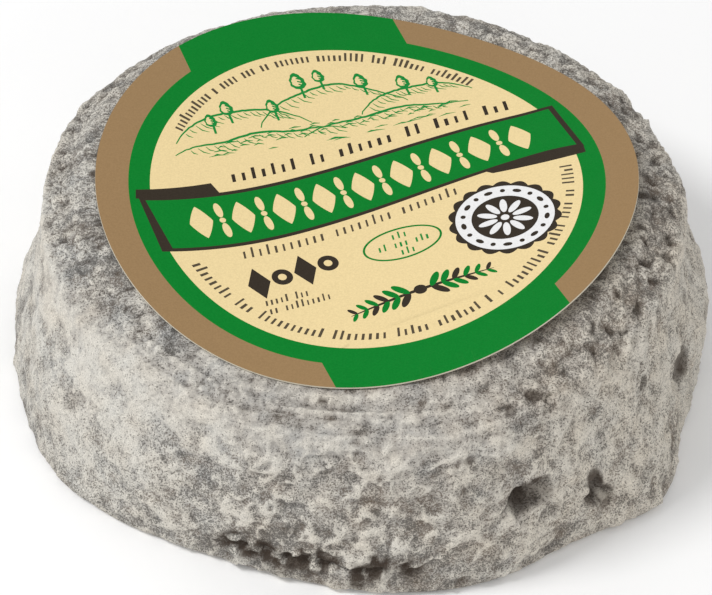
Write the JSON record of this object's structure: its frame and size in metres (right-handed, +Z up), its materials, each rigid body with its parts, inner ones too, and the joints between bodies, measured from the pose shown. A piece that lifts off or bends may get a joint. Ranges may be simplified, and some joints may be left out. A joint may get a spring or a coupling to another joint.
{
  "type": "selles-sur-cher cheese",
  "caption": "Small round ash-rinded goat's cheese with tapered sides, uneven foot, pitted wall and a round paper label curled in the hollow of its top.",
  "frame": {"origin": "on the floor under the middle of the whole cheese", "axes": "+Z up, out of the labelled top; -Y towards the side from which the label reads upright; +X to the reader's right"},
  "size_m": [0.0915, 0.0918, 0.0299],
  "materials": {
    "rind": "dry felt-like mould rind over grey ash, matte, finely speckled and wrinkled",
    "label_paper": "smooth coated paper printed in green, tan and cream, slight sheen"
  },
  "bodies": {
    "root": {"cheese": "rind", "label": "label_paper"}
  },
  "joints": []
}
